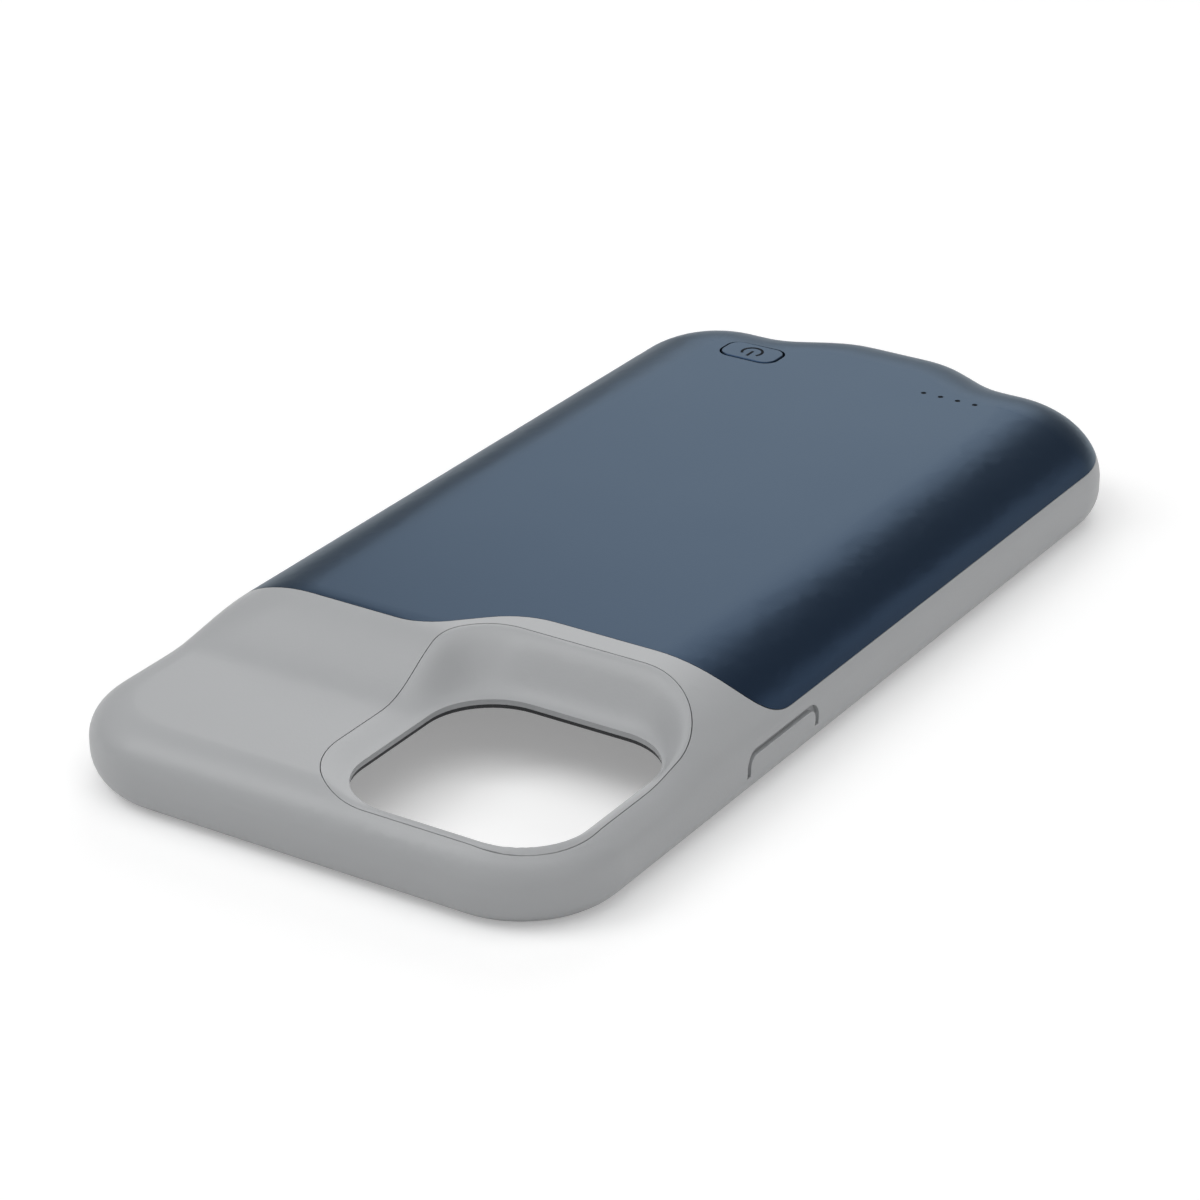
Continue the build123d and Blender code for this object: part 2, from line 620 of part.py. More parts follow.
# Battery
terrace_y = CELL_Y - CELL_LENGTH / 2 - TERRACE / 2
with BuildPart() as battery_cell:
    add(slab(0, CELL_Y, CELL_FLOOR, (CELL_WIDTH, CELL_LENGTH, CELL_DEPTH)))
    chamfer(battery_cell.edges().filter_by(Axis.Z), 2.4)
    ends = battery_cell.faces().sort_by(Axis.Z)
    chamfer(ends[-1].edges() + ends[0].edges(), 0.9)
    add(slab(0, terrace_y + 1, CELL_FLOOR, (CELL_WIDTH - 8, TERRACE + 2, 0.4)))
finish(battery_cell, "battery_cell")

with BuildPart() as protection_board:
    add(slab(0, terrace_y, CELL_FLOOR + 0.4, (42.0, TERRACE - 0.5, 0.8)))
finish(protection_board, "protection_board")

strip_spots = [CELL_Y - CELL_LENGTH * 0.28, CELL_Y + CELL_LENGTH * 0.28]
with BuildPart() as battery_tape:
    with Locations([(0, y, TRAY_TOP) for y in strip_spots]):
        Box(CELL_WIDTH - 8, 11, TAPE, align=(Align.CENTER, Align.CENTER, Align.MIN))
finish(battery_tape, "battery_tape")

with BuildPart() as foam_pads:
    with Locations([(0, y, CELL_TOP) for y in strip_spots]):
        pad_size = (CELL_WIDTH - 14, 9, COVER_INSIDE - CELL_TOP)
        Box(*pad_size, align=(Align.CENTER, Align.CENTER, Align.MIN))
finish(foam_pads, "foam_pads")


def battery_lead(x):
    """Round lead from the protection board into the socket."""
    lead_z = CELL_FLOOR + 1.2 + 0.45
    with BuildPart() as lead:
        with BuildLine():
            start = (x, terrace_y + 0.9, lead_z)
            corner = (x, terrace_y - 0.6, lead_z)
            Polyline(start, corner, (x, socket_y + 1.5, BOARD_TOP + 1.2))
        with BuildSketch(Plane(start, z_dir=(0, -1, 0))):
            RegularPolygon(0.45, 8)
        sweep(transition=Transition.RIGHT)
    return lead


lead_positive = battery_lead(1.3)
finish(lead_positive, "lead_positive")
lead_negative = battery_lead(-1.3)
finish(lead_negative, "lead_negative")

# Plug for the phone, with its board, and the charging port behind it
with BuildPart() as plug_board:
    with Locations((0, PLUG_ROOT, (LIP_DEPTH + 0.9 + TRAY_FLOOR) / 2)):
        board_height = TRAY_FLOOR - LIP_DEPTH - 0.9
        board_box = (CHIN_ROOM - 2.0, PLUG_BOARD, board_height)
        Box(*board_box, align=(Align.CENTER, Align.MAX, Align.CENTER))
finish(plug_board, "plug_board")

contact_xs = [(step - 3.5) * 0.68 for step in range(8)]
with BuildPart() as contact_form:
    for way in (-1, 1):
        with Locations([(x, POCKET_END + PLUG_LENGTH - 3.1, PHONE_MIDDLE) for x in contact_xs]):
            with Locations((0, 0, way * (PLUG_THICKNESS / 2 - 0.06))):
                Box(0.4, 3.2, 0.12)

with BuildPart() as phone_plug:
    with BuildSketch(Plane.XZ.offset(-PLUG_ROOT)):
        with Locations((0, PHONE_MIDDLE)):
            RectangleRounded(PLUG_WIDTH, PLUG_THICKNESS, PLUG_THICKNESS * 0.48)
    extrude(amount=-(PLUG_LENGTH + CHIN_WALL))
    chamfer(phone_plug.faces().sort_by(Axis.Y)[-1].edges(), 0.35)
    add(contact_form.part, mode=Mode.SUBTRACT)
finish(phone_plug, "phone_plug")

with BuildPart() as plug_contacts:
    add(contact_form.part)
finish(plug_contacts, "plug_contacts")

port_length = PORT_ROOT - PORT_MOUTH
with BuildPart() as port_shell:
    with BuildSketch(Plane.XZ.offset(-PORT_ROOT)):
        with Locations((0, PHONE_MIDDLE)):
            RectangleRounded(PORT_WIDTH, PORT_HEIGHT, PORT_HEIGHT * 0.49)
            inner = PORT_HEIGHT - 2 * PORT_SHEET
            inner_width = PORT_WIDTH - 2 * PORT_SHEET
            RectangleRounded(inner_width, inner, inner * 0.49, mode=Mode.SUBTRACT)
    extrude(amount=port_length)
finish(port_shell, "port_shell")

with BuildPart() as port_tongue:
    with BuildSketch(Plane.XZ.offset(-PORT_ROOT)):
        with Locations((0, PHONE_MIDDLE)):
            RectangleRounded(inner_width, inner, inner * 0.49)
    extrude(amount=0.7)
    with BuildSketch(Plane.XZ.offset(-PORT_ROOT)):
        with Locations((0, PHONE_MIDDLE)):
            RectangleRounded(inner_width * 0.8, 0.7, 0.2)
    extrude(amount=port_length - 0.6)
finish(port_tongue, "port_tongue")

flex = 0.15
flex_up = PHONE_MIDDLE + PORT_HEIGHT / 2 + 0.4
with BuildPart() as plug_flex:
    with BuildSketch(Plane.YZ):
        with BuildLine():
            turn = 1.2
            back = PORT_ROOT - flex / 2
            level = BOARD_TOP + flex / 2
            rise = Line((back, flex_up), (back, level - turn))
            bend = RadiusArc((back, level - turn), (back + turn, level), turn)
            run = Line((back + turn, level), (BOARD_Y - BOARD_LENGTH / 2 + 1.6, level))
            offset(amount=flex / 2, side=Side.BOTH)
        make_face()
    extrude(amount=3.0, both=True)
finish(plug_flex, "plug_flex")
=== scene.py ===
"""Looks of a battery charging case: shells, key, charge lights, port, inside pieces and the stage."""

from math import pi, radians

import bmesh
import bpy
from bpy.props import FloatProperty, FloatVectorProperty, PointerProperty
from bpy.types import Operator, Panel, PropertyGroup
from mathutils import Matrix, Vector


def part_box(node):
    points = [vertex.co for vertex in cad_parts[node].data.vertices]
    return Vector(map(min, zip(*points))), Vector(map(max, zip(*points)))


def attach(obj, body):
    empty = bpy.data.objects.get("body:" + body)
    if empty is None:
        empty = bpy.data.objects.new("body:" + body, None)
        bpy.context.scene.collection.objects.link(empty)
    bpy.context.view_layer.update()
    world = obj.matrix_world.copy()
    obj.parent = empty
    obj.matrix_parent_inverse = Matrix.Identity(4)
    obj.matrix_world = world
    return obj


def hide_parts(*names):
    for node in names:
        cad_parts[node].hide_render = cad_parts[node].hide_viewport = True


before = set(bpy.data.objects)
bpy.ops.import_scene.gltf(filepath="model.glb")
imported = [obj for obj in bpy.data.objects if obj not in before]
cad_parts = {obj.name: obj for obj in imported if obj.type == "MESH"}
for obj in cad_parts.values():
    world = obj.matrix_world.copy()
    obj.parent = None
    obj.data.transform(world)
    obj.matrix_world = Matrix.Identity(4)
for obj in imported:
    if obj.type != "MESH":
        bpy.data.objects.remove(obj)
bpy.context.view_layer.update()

bl_info = {
    "name": "Battery charging case",
    "version": (1, 0, 0),
    "blender": (4, 5, 0),
    "location": "View3D > Sidebar > Battery case",
    "description": "Finishes and stage for a protective sleeve with a built-in battery",
    "category": "Object",
}

MM = 0.001
HOUSING = "housing"
KEY = "key"

# Joining of the faces of an outer piece
WELD_DISTANCE = 0.002 * MM
SLIVER_LENGTH = 0.001 * MM
CREASE_ANGLE = radians(28)

# Power sign: steps of its ring, and its bar as shares of the ring's radius
RING_STEPS = 40
BAR_STEPS = 4
BAR_HALF_LENGTH = 0.62
BAR_MIDDLE = 0.46

# Plain moulded pieces: name of the finish, colour, grain and roughness
MOULDED = {
    "status_lights": ("lamp_white", (0.72, 0.72, 0.66), 0.2 * MM, 0.35),
    "battery_tape": ("tape_white", (0.62, 0.62, 0.58), 0.6 * MM, 0.7),
    "lead_positive": ("lead_red", (0.42, 0.012, 0.010), 0.3 * MM, 0.4),
    "lead_negative": ("lead_black", (0.012, 0.012, 0.012), 0.3 * MM, 0.4),
    "charge_controller": ("chip_black", (0.014, 0.014, 0.015), 0.12 * MM, 0.55),
    "boost_inductor": ("ferrite_grey", (0.03, 0.03, 0.032), 0.25 * MM, 0.65),
    "capacitors": ("ceramic_tan", (0.30, 0.19, 0.09), 0.15 * MM, 0.45),
    "battery_socket": ("socket_ivory", (0.70, 0.68, 0.58), 0.2 * MM, 0.5),
}
FOAM_BLACK = (0.03, 0.03, 0.03)
FILM_AMBER = (0.36, 0.13, 0.02)

# Soft lamps: where each one stands, and its width and height
LAMP_AIM = Vector((0, 0, 8 * MM))
LAMPS = {
    "top": ((-0.10, 0.20, 1.30), (1.5, 1.5)),
    "back": ((0.58, -1.21, 0.73), (0.76, 0.8)),
    "side": ((-0.89, -1.14, 0.41), (0.4, 0.5)),
    "key": ((0.84, 0.59, 1.23), (0.8, 0.8)),
    "front": ((-1.45, 0.75, 0.60), (1.6, 1.0)),
}
FLOOR_REACH = 6.0
FLOOR_PATCH = 0.4
SENSOR_WIDTH = 36
CLIP_RANGE = (0.01, 50)


class Wire:
    """One output of a shader graph, for sums written as Python expressions."""

    def __init__(self, finish, socket):
        self.finish = finish
        self.socket = socket

    def sum(self, operation, first, second):
        return self.finish.add("ShaderNodeMath", {"operation": operation}, {0: first, 1: second})

    def __add__(self, other):
        return self.sum("ADD", self, other)

    def __radd__(self, other):
        return self.sum("ADD", other, self)

    def __sub__(self, other):
        return self.sum("SUBTRACT", self, other)

    def __rsub__(self, other):
        return self.sum("SUBTRACT", other, self)

    def __mul__(self, other):
        return self.sum("MULTIPLY", self, other)

    def __rmul__(self, other):
        return self.sum("MULTIPLY", other, self)

    def __gt__(self, other):
        return self.sum("GREATER_THAN", self, other)

    def __lt__(self, other):
        return self.sum("LESS_THAN", self, other)


class Finish:
    """One procedural material on a Principled surface."""

    def __init__(self, name, **constants):
        self.material = bpy.data.materials.new(name)
        self.material.use_nodes = True
        self.tree = self.material.node_tree
        self.tree.nodes.clear()
        self.surface = self.tree.nodes.new("ShaderNodeBsdfPrincipled")
        end = self.tree.nodes.new("ShaderNodeOutputMaterial")
        self.tree.links.new(self.surface.outputs[0], end.inputs["Surface"])
        for socket, value in constants.items():
            self.surface.inputs[socket.replace("_", " ")].default_value = value
        self.place = self.add("ShaderNodeTexCoord", {}, {}, "Object")

    def add(self, kind, settings, sockets, output=0):
        """Add a node: its settings first, then the values or links of its sockets."""
        node = self.tree.nodes.new(kind)
        for name, value in settings.items():
            setattr(node, name, value)
        for name, value in sockets.items():
            if isinstance(value, Wire):
                self.tree.links.new(value.socket, node.inputs[name])
            else:
                node.inputs[name].default_value = value
        return Wire(self, node.outputs[output])

    def feed(self, socket, wire):
        self.tree.links.new(wire.socket, self.surface.inputs[socket])

    def noise(self, size, detail=2.0, stretch=(1, 1, 1)):
        """Cloudy pattern whose patches are about this long, in metres."""
        where = self.place
        if stretch != (1, 1, 1):
            where = self.add("ShaderNodeMapping", {}, {"Vector": where, "Scale": stretch})
        sockets = {"Vector": where, "Scale": 1 / size, "Detail": detail, "Roughness": 0.55}
        return self.add("ShaderNodeTexNoise", {}, sockets)

    def blend(self, mask, first, second):
        """Colour that runs from first to second with the mask."""
        settings = {"data_type": "RGBA", "clamp_factor": True}
        return self.add("ShaderNodeMix", settings, {0: mask, 6: first, 7: second}, 2)

    def shade(self, mask, colour, low, high):
        """Base colour that runs with the mask between two tones of one colour."""
        self.feed("Base Color", self.blend(mask, tone(colour, low), tone(colour, high)))

    def relief(self, height, depth):
        """Small surface relief of a real depth in metres."""
        sockets = {"Strength": 1.0, "Distance": depth, "Height": height}
        self.feed("Normal", self.add("ShaderNodeBump", {}, sockets))


def tone(colour, factor=1.0):
    """Colour with full alpha, lighter or darker by a factor."""
    return (*[min(channel * factor, 1.0) for channel in colour[:3]], 1.0)


def soft_touch(name, colour, grain, patch=18 * MM, roughness=0.37):
    """Matt moulded rubber with a fine grain and hardly any sheen."""
    finish = Finish(name, IOR=1.5)
    cloud = finish.noise(patch)
    fine = finish.noise(grain, detail=3.0)
    finish.shade(cloud, colour, 0.975, 1.025)
    finish.feed("Roughness", roughness + 0.04 * cloud + 0.06 * fine)
    finish.relief(fine, grain * 0.035)
    return finish.material


def satin_paint(name, colour, grain, metallic, roughness, flop, patch=26 * MM):
    """Smooth satin paint with a pearl tint, darker where it turns away, on hard plastic."""
    finish = Finish(name, Metallic=metallic, IOR=1.45, Specular_Tint=tone(flop))
    cloud = finish.noise(patch)
    fine = finish.noise(grain)
    finish.shade(cloud, colour, 0.96, 1.04)
    finish.feed("Roughness", roughness - 0.02 + 0.03 * cloud + 0.02 * fine)
    finish.relief(fine, grain * 0.012)
    return finish.material


def moulded_plastic(name, colour, grain, roughness=0.55, patch=12 * MM):
    """Plain hard plastic with a spark-eroded grain."""
    finish = Finish(name, IOR=1.5)
    cloud = finish.noise(patch)
    fine = finish.noise(grain, detail=3.0)
    finish.shade(fine, colour, 0.88, 1.12)
    finish.feed("Roughness", roughness - 0.05 + 0.1 * cloud)
    finish.relief(fine, grain * 0.06)
    return finish.material


def drawn_metal(name, colour, roughness, draw, line=0.12 * MM, patch=3 * MM):
    """Bright metal with fine lines along the way it was drawn."""
    finish = Finish(name, Metallic=1.0)
    lines = finish.noise(line, detail=4.0, stretch=draw)
    stain = finish.noise(patch)
    finish.shade(stain, colour, 0.9, 1.06)
    finish.feed("Roughness", roughness - 0.06 + 0.12 * lines)
    finish.relief(lines, 0.002 * MM)
    return finish.material


def coated_board(name, colour, copper, patch=2 * MM, film_depth=0.02 * MM):
    """Circuit board: coated copper tracks and pads under a green film."""
    finish = Finish(name, IOR=1.52, Coat_Weight=0.3)
    rows = finish.add("ShaderNodeTexBrick", {"offset": 0.37, "squash": 1.6}, {
        "Vector": finish.place, "Scale": 420.0, "Mortar Size": 0.05, "Brick Width": 1.3,
    }, "Fac")
    specks = finish.add("ShaderNodeTexVoronoi", {}, {"Vector": finish.place, "Scale": 900.0})
    film = finish.blend(rows, tone(colour), tone(colour, 1.7))
    finish.feed("Base Color", finish.blend(specks < 0.16, film, tone(copper)))
    finish.feed("Roughness", 0.3 + 0.15 * finish.noise(patch))
    finish.relief(rows, film_depth)
    return finish.material


def pouch_foil(name, colour, crease=9 * MM, grain=0.4 * MM, crease_depth=0.12 * MM):
    """Laminated foil of a battery pouch, with soft creases whose hollows carry painted shade and
    whose ridges are painted lighter.
    """
    finish = Finish(name, Metallic=0.85)
    creases = finish.noise(crease, detail=5.0, stretch=(1.0, 2.2, 1.0))
    fine = finish.noise(grain)
    # The colour follows the crease relief: painted shade in the hollows, painted highlight on the
    # ridges.
    finish.shade(creases, colour, 0.82, 1.1)
    finish.feed("Roughness", 0.3 + 0.16 * creases + 0.05 * fine)
    finish.relief(creases + 0.12 * fine, crease_depth)
    return finish.material


def open_foam(name, colour, cell_depth=0.15 * MM):
    """Fine open foam, with painted shade in its pores."""
    finish = Finish(name, Specular_IOR_Level=0.2)
    cells = finish.add("ShaderNodeTexVoronoi", {}, {"Vector": finish.place, "Scale": 2600.0})
    # The colour follows the cell relief: painted shade in the pits, painted light on the cell walls.
    finish.shade(cells, colour, 0.4, 1.7)
    finish.feed("Roughness", 0.85 + 0.1 * cells)
    finish.relief(cells, cell_depth)
    return finish.material


def track_film(name, colour, copper, patch=1.5 * MM, track_depth=0.02 * MM):
    """Flexible film with copper tracks that run along it."""
    finish = Finish(name, IOR=1.6, Coat_Weight=0.4)
    waves = {"wave_type": "BANDS", "bands_direction": "X"}
    tracks = finish.add("ShaderNodeTexWave", waves, {"Vector": finish.place, "Scale": 420.0})
    finish.feed("Base Color", finish.blend(tracks > 0.5, tone(colour), tone(copper)))
    finish.feed("Roughness", 0.25 + 0.1 * finish.noise(patch))
    finish.relief(tracks, track_depth)
    return finish.material


def dull_dark(name, colour, patch=0.5 * MM):
    """Dull dark ink or smoked plastic that hardly mirrors anything."""
    finish = Finish(name, IOR=1.3, Specular_IOR_Level=0.15)
    haze = finish.noise(patch)
    finish.shade(haze, colour, 0.8, 1.2)
    finish.feed("Roughness", 0.65 + 0.1 * haze)
    return finish.material


def paint_node(node, material):
    """Give a CAD node a material in place of its packed one."""
    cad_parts[node].material_slots[0].material = material


def mould(*nodes):
    """Give plain moulded pieces their own finishes."""
    for node in nodes:
        paint_node(node, moulded_plastic(*MOULDED[node]))


def settle(piece, body, material):
    """Finish a new piece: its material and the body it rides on."""
    piece.data.materials.clear()
    piece.data.materials.append(material)
    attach(piece, body)


def mesh_piece(name, shape):
    """New object of a bmesh that is already in place."""
    mesh = bpy.data.meshes.new(name)
    shape.to_mesh(mesh)
    shape.free()
    piece = bpy.data.objects.new(name, mesh)
    bpy.context.scene.collection.objects.link(piece)
    return piece


def even_skin(node, name, body, material):
    """Joined copy of a CAD node whose tangent faces shade as one surface."""
    shape = bmesh.new()
    shape.from_mesh(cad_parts[node].data)
    bmesh.ops.remove_doubles(shape, verts=shape.verts, dist=WELD_DISTANCE)
    bmesh.ops.dissolve_degenerate(shape, edges=shape.edges, dist=SLIVER_LENGTH)
    for face in shape.faces:
        face.smooth = True
    for edge in shape.edges:
        edge.smooth = edge.is_manifold and edge.calc_face_angle(pi) < CREASE_ANGLE
    piece = mesh_piece(name, shape)
    if "custom_normal" in piece.data.attributes:
        piece.data.attributes.remove(piece.data.attributes["custom_normal"])
    even = piece.modifiers.new("Even shading", "WEIGHTED_NORMAL")
    even.mode = "FACE_AREA_WITH_ANGLE"
    even.keep_sharp = True
    settle(piece, body, material)
    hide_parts(node)


class CaseColours(PropertyGroup):
    """Colours and grain of the finishes."""

    cover: FloatVectorProperty(
        name="Cover", description="Satin paint of the hard back cover",
        subtype="COLOR", size=3, min=0, max=1, default=(0.017, 0.035, 0.070))
    flop: FloatVectorProperty(
        name="Flop", description="Tint of the cover's paint where it turns away",
        subtype="COLOR", size=3, min=0, max=1, default=(0.85, 0.95, 1.0))
    bumper: FloatVectorProperty(
        name="Bumper", description="Soft grey of the bumper and the camera surround",
        subtype="COLOR", size=3, min=0, max=1, default=(0.412, 0.421, 0.431))
    tray: FloatVectorProperty(
        name="Tray", description="Stiff plate at the bottom of the pocket",
        subtype="COLOR", size=3, min=0, max=1, default=(0.030, 0.031, 0.034))
    mark: FloatVectorProperty(
        name="Mark", description="Line of the power sign on the key",
        subtype="COLOR", size=3, min=0, max=1, default=(0.006, 0.008, 0.012))
    guide: FloatVectorProperty(
        name="Light guide", description="Smoked plastic of the charge lights",
        subtype="COLOR", size=3, min=0, max=1, default=(0.006, 0.008, 0.011))
    steel: FloatVectorProperty(
        name="Steel", description="Sheet metal of the port and the plug",
        subtype="COLOR", size=3, min=0, max=1, default=(0.62, 0.62, 0.63))
    gold: FloatVectorProperty(
        name="Contacts", description="Plated contacts of the plug",
        subtype="COLOR", size=3, min=0, max=1, default=(0.80, 0.55, 0.20))
    board: FloatVectorProperty(
        name="Board", description="Film on the circuit boards",
        subtype="COLOR", size=3, min=0, max=1, default=(0.010, 0.070, 0.022))
    copper: FloatVectorProperty(
        name="Copper", description="Tracks and pads of the boards and the film",
        subtype="COLOR", size=3, min=0, max=1, default=(0.62, 0.40, 0.16))
    foil: FloatVectorProperty(
        name="Pouch foil", description="Foil round the battery cell",
        subtype="COLOR", size=3, min=0, max=1, default=(0.55, 0.56, 0.58))
    pearl: FloatProperty(
        name="Pearl", description="How far the cover's paint reflects like metal",
        subtype="FACTOR", min=0, max=1, default=0.8)
    satin: FloatProperty(
        name="Satin", description="Roughness of the cover's paint",
        subtype="FACTOR", min=0, max=1, default=0.36)
    grain: FloatProperty(
        name="Grain", description="Pitch of the moulded grain",
        unit="LENGTH", min=0.00005, max=0.002, default=0.00035)


class CaseMark(PropertyGroup):
    """Sizes of the power sign on the key."""

    radius: FloatProperty(
        name="Ring radius", description="Middle line of the open ring",
        unit="LENGTH", min=0.0002, max=0.003, default=0.0015)
    line: FloatProperty(
        name="Line", description="Width of the ring and the bar",
        unit="LENGTH", min=0.00005, max=0.001, default=0.0004)
    opening: FloatProperty(
        name="Opening", description="Angle left open round the bar",
        subtype="ANGLE", min=0.2, max=3.0, default=radians(100))
    rise: FloatProperty(
        name="Rise", description="Height of the printed line over the key",
        unit="LENGTH", min=0.000005, max=0.0002, default=0.00002)


class CaseStage(PropertyGroup):
    """Camera, lamps and floor."""

    camera_place: FloatVectorProperty(
        name="Camera", description="Where the camera stands",
        subtype="TRANSLATION", size=3, unit="LENGTH", default=(-0.25152, 0.40647, 0.23539))
    camera_aim: FloatVectorProperty(
        name="Aim", description="Way the camera looks",
        subtype="DIRECTION", size=3, default=(0.482, -0.760, -0.436))
    lens: FloatProperty(
        name="Lens", description="Focal length for a 36 mm frame, in millimetres",
        subtype="DISTANCE_CAMERA", min=20, max=300, default=119.07)
    world: FloatProperty(
        name="Room light", description="Level of the even light from all round",
        min=0, max=2, default=0.30)
    top: FloatProperty(
        name="Top light", description="Brightness of the panel overhead",
        min=0, max=10, default=1.2)
    key: FloatProperty(
        name="Key light", description="Brightness of the panel that the rounded edges mirror",
        min=0, max=10, default=3.0)
    back: FloatProperty(
        name="Back light", description="Brightness of the panel that the flat back mirrors",
        min=0, max=10, default=1.87)
    side: FloatProperty(
        name="Side light", description="Brightness of the strip that the shoulder mirrors",
        min=0, max=10, default=1.3)
    front: FloatProperty(
        name="Front light", description="Brightness of the fill from the camera's side",
        min=0, max=10, default=0.45)
    floor: FloatVectorProperty(
        name="Floor", description="Colour of the floor",
        subtype="COLOR", size=3, min=0, max=1, default=(0.82, 0.82, 0.82))
    glow: FloatProperty(
        name="Floor glow", description="How far the floor looks lifted to white",
        subtype="FACTOR", min=0, max=1, default=0.28)


class CASE_OT_soft_shells(Operator):
    """Make the soft grey bumper and the insert round the camera window"""

    bl_idname = "battery_case.soft_shells"
    bl_label = "Soft bumper and surround"

    def execute(self, context):
        colours = context.scene.case_colours
        grey = soft_touch("soft_grey", colours.bumper, colours.grain)
        even_skin("bumper", "bumper_skin", HOUSING, grey)
        even_skin("camera_surround", "surround_skin", HOUSING, grey)
        return {"FINISHED"}


class CASE_OT_back_cover(Operator):
    """Make the satin back cover"""

    bl_idname = "battery_case.back_cover"
    bl_label = "Back cover"

    def execute(self, context):
        colours = context.scene.case_colours
        paint = satin_paint(
            "navy_satin", colours.cover, colours.grain, colours.pearl, colours.satin, colours.flop)
        even_skin("back_cover", "cover_skin", HOUSING, paint)
        return {"FINISHED"}


class CASE_OT_power_key(Operator):
    """Paint the power key and lay the power sign on it"""

    bl_idname = "battery_case.power_key"
    bl_label = "Power key"

    def execute(self, context):
        colours, mark = context.scene.case_colours, context.scene.case_mark
        paint = bpy.data.materials["navy_satin"]
        even_skin("power_button", "key_cap", KEY, paint)
        ink = dull_dark("dark_mark", colours.mark)
        low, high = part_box("power_button")
        centre = Vector(((low.x + high.x) / 2, (low.y + high.y) / 2, high.z))
        settle(self.sign(mark, centre), KEY, ink)
        paint_node("switch_plunger", moulded_plastic("plunger_black", colours.mark, colours.grain))
        return {"FINISHED"}

    def sign(self, mark, centre):
        """Open ring with a bar in its opening, which points to the camera end."""
        shape = bmesh.new()
        half = mark.line / 2
        start = pi / 2 + mark.opening / 2
        turn = 2 * pi - mark.opening
        ends = [shape.verts.new((reach, 0, 0)) for reach in (mark.radius - half, mark.radius + half)]
        section = shape.edges.new(ends)
        bmesh.ops.rotate(shape, verts=ends, cent=(0, 0, 0), matrix=Matrix.Rotation(start, 3, "Z"))
        bmesh.ops.spin(shape, geom=[*ends, section], cent=(0, 0, 0), axis=(0, 0, 1),
                       angle=turn, steps=RING_STEPS)
        bar = bmesh.ops.create_grid(shape, x_segments=1, y_segments=BAR_STEPS, size=1.0)["verts"]
        bmesh.ops.scale(shape, verts=bar, vec=(half, mark.radius * BAR_HALF_LENGTH, 1))
        bmesh.ops.translate(shape, verts=bar, vec=(0, mark.radius * BAR_MIDDLE, 0))
        bmesh.ops.recalc_face_normals(shape, faces=shape.faces)
        for face in shape.faces:
            if face.normal.z < 0:
                face.normal_flip()
        walls = bmesh.ops.extrude_face_region(shape, geom=list(shape.faces))
        top = [item for item in walls["geom"] if isinstance(item, bmesh.types.BMVert)]
        bmesh.ops.translate(shape, verts=top, vec=(0, 0, mark.rise))
        bmesh.ops.translate(shape, verts=shape.verts, vec=centre)
        bmesh.ops.recalc_face_normals(shape, faces=shape.faces)
        return mesh_piece("power_sign", shape)


class CASE_OT_charge_lights(Operator):
    """Paint the light guide and the lamps under it"""

    bl_idname = "battery_case.charge_lights"
    bl_label = "Charge lights"

    def execute(self, context):
        paint_node("light_guide", dull_dark("smoked_guide", context.scene.case_colours.guide))
        mould("status_lights")
        return {"FINISHED"}


class CASE_OT_connectors(Operator):
    """Paint the charging port, the plug in the pocket and their contacts"""

    bl_idname = "battery_case.connectors"
    bl_label = "Port and plug"

    def execute(self, context):
        colours = context.scene.case_colours
        steel = drawn_metal("bright_steel", colours.steel, 0.26, (1.0, 0.12, 1.0))
        for node in ("port_shell", "phone_plug", "power_switch"):
            paint_node(node, steel)
        paint_node("plug_contacts", drawn_metal("gold_plate", colours.gold, 0.22, (1.0, 0.2, 1.0)))
        paint_node("port_tongue", moulded_plastic("tongue_black", colours.mark, 0.15 * MM))
        return {"FINISHED"}


class CASE_OT_tray(Operator):
    """Paint the stiff tray at the bottom of the pocket"""

    bl_idname = "battery_case.tray"
    bl_label = "Inner tray"

    def execute(self, context):
        colours = context.scene.case_colours
        paint_node("inner_tray", moulded_plastic("tray_black", colours.tray, 0.5 * MM, 0.6))
        return {"FINISHED"}


class CASE_OT_battery(Operator):
    """Paint the cell, its leads and what holds it"""

    bl_idname = "battery_case.battery"
    bl_label = "Battery"

    def execute(self, context):
        paint_node("battery_cell", pouch_foil("pouch_foil", context.scene.case_colours.foil))
        paint_node("foam_pads", open_foam("foam_black", FOAM_BLACK))
        mould("battery_tape", "lead_positive", "lead_negative")
        return {"FINISHED"}


class CASE_OT_electronics(Operator):
    """Paint the boards and the parts on them"""

    bl_idname = "battery_case.electronics"
    bl_label = "Electronics"

    def execute(self, context):
        colours = context.scene.case_colours
        board = coated_board("board_green", colours.board, colours.copper)
        for node in ("main_board", "plug_board", "protection_board"):
            paint_node(node, board)
        mould("charge_controller", "boost_inductor", "capacitors", "battery_socket")
        paint_node("plug_flex", track_film("flex_amber", FILM_AMBER, colours.copper))
        return {"FINISHED"}


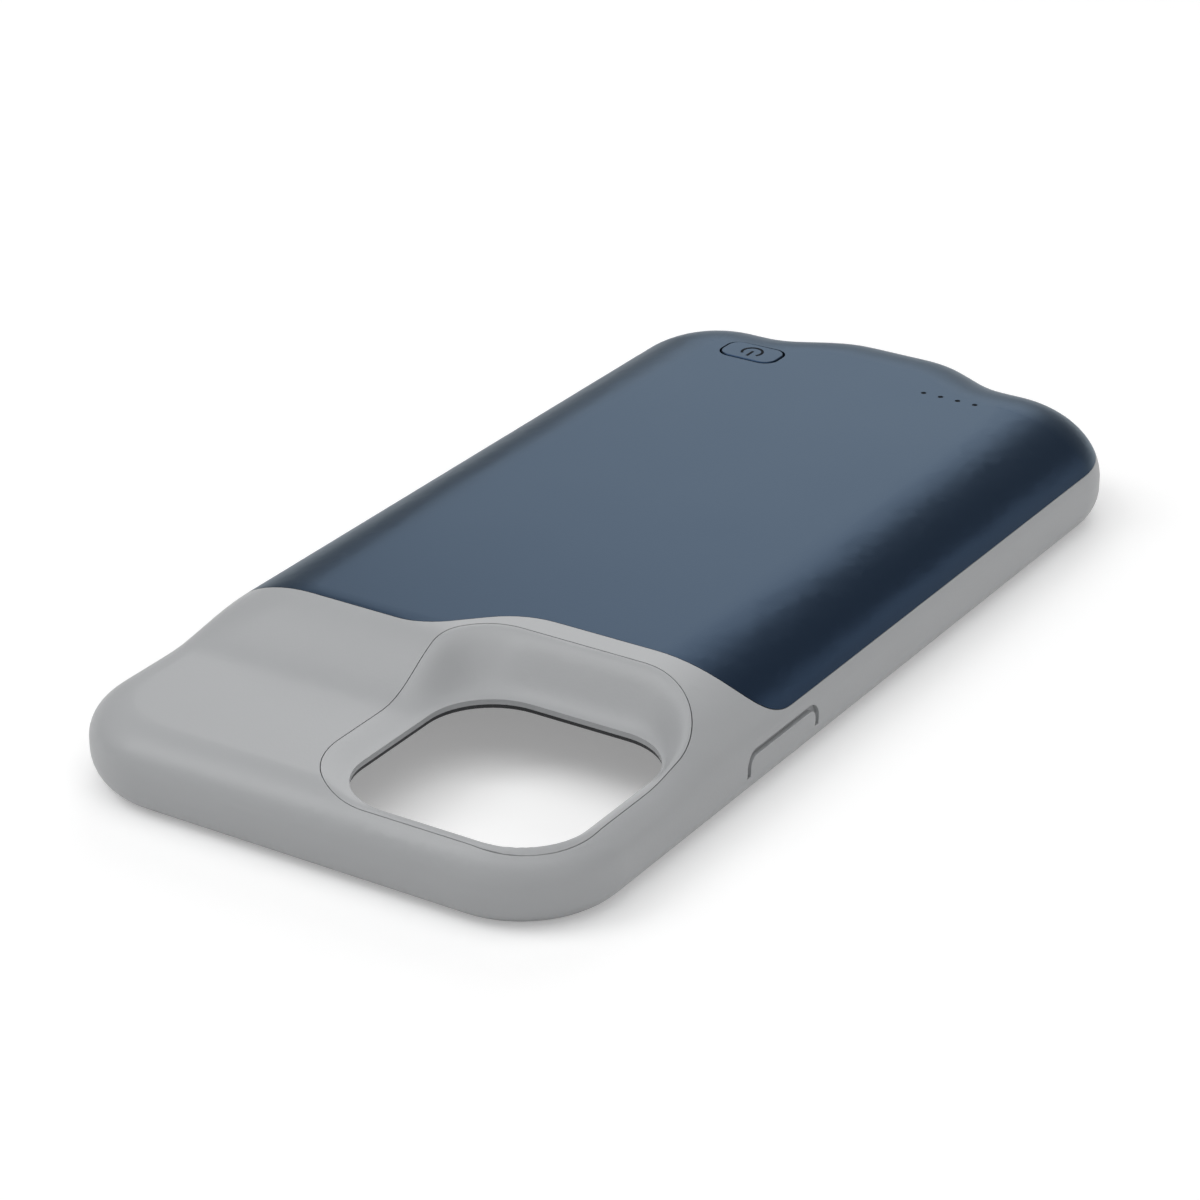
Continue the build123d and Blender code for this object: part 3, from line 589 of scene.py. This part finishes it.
class CASE_OT_stage(Operator):
    """Set up the floor, the lamps, the room light and the camera"""

    bl_idname = "battery_case.stage"
    bl_label = "Stage"

    def execute(self, context):
        scene, stage = context.scene, context.scene.case_stage
        scene.view_settings.view_transform = "Standard"
        self.room(scene, stage)
        self.floor(stage)
        for name, (place, size) in LAMPS.items():
            self.panel(scene, f"{name}_panel", place, size, getattr(stage, name))
        self.camera(scene, stage)
        return {"FINISHED"}

    def room(self, scene, stage):
        """Even white light from all round."""
        world = bpy.data.worlds.new("room")
        scene.world = world
        world.use_nodes = True
        light = world.node_tree.nodes["Background"]
        light.inputs["Color"].default_value = (1, 1, 1, 1)
        light.inputs["Strength"].default_value = stage.world

    def floor(self, stage):
        """Pale floor that takes the shadow and looks white where it is lit."""
        shape = bmesh.new()
        bmesh.ops.create_grid(shape, x_segments=1, y_segments=1, size=FLOOR_REACH)
        floor = mesh_piece("floor", shape)
        pale = Finish("pale_floor", Specular_IOR_Level=0.0, Roughness=1.0, Emission_Strength=1.0)
        camera, glossy, through = [
            pale.add("ShaderNodeLightPath", {}, {}, ray)
            for ray in ("Is Camera Ray", "Is Glossy Ray", "Is Transmission Ray")]
        glow = pale.blend(camera + glossy + through, tone((0, 0, 0)), tone((stage.glow,) * 3))
        pale.feed("Emission Color", glow)
        pale.shade(pale.noise(FLOOR_PATCH), stage.floor, 0.995, 1.005)
        floor.data.materials.append(pale.material)

    def panel(self, scene, name, place, size, level):
        """Soft lamp of an even brightness that faces the object."""
        lamp = bpy.data.lights.new(name, "AREA")
        lamp.shape = "RECTANGLE"
        lamp.size, lamp.size_y = size
        lamp.energy = level * pi * size[0] * size[1]
        holder = bpy.data.objects.new(name, lamp)
        holder.location = place
        holder.rotation_euler = (LAMP_AIM - Vector(place)).to_track_quat("-Z", "Y").to_euler()
        holder.visible_camera = False
        scene.collection.objects.link(holder)

    def camera(self, scene, stage):
        """Camera of the photograph."""
        lens = bpy.data.cameras.new("camera")
        lens.sensor_width = SENSOR_WIDTH
        lens.lens = stage.lens
        lens.clip_start, lens.clip_end = CLIP_RANGE
        holder = bpy.data.objects.new("camera", lens)
        holder.location = stage.camera_place
        holder.rotation_euler = Vector(stage.camera_aim).to_track_quat("-Z", "Y").to_euler()
        scene.collection.objects.link(holder)
        scene.camera = holder


STEPS = (
    CASE_OT_soft_shells,
    CASE_OT_back_cover,
    CASE_OT_power_key,
    CASE_OT_charge_lights,
    CASE_OT_connectors,
    CASE_OT_tray,
    CASE_OT_battery,
    CASE_OT_electronics,
    CASE_OT_stage,
)


class CASE_PT_sidebar(Panel):
    """Lists the steps and the sizes and colours that they use"""

    bl_idname = "CASE_PT_sidebar"
    bl_label = "Battery case"
    bl_space_type = "VIEW_3D"
    bl_region_type = "UI"
    bl_category = "Battery case"

    def draw(self, context):
        for step in STEPS:
            self.layout.operator(step.bl_idname)
        for group in (context.scene.case_colours, context.scene.case_mark, context.scene.case_stage):
            box = self.layout.box()
            for name in group.__annotations__:
                box.prop(group, name)


CLASSES = (CaseColours, CaseMark, CaseStage, *STEPS, CASE_PT_sidebar)


def register():
    for cls in CLASSES:
        bpy.utils.register_class(cls)
    bpy.types.Scene.case_colours = PointerProperty(type=CaseColours)
    bpy.types.Scene.case_mark = PointerProperty(type=CaseMark)
    bpy.types.Scene.case_stage = PointerProperty(type=CaseStage)


def unregister():
    for name in ("case_colours", "case_mark", "case_stage"):
        delattr(bpy.types.Scene, name)
    for cls in reversed(CLASSES):
        bpy.utils.unregister_class(cls)


def main():
    register()
    bpy.ops.battery_case.soft_shells()
    bpy.ops.battery_case.back_cover()
    bpy.ops.battery_case.power_key()
    bpy.ops.battery_case.charge_lights()
    bpy.ops.battery_case.connectors()
    bpy.ops.battery_case.tray()
    bpy.ops.battery_case.battery()
    bpy.ops.battery_case.electronics()
    bpy.ops.battery_case.stage()


if __name__ == "__main__":
    main()
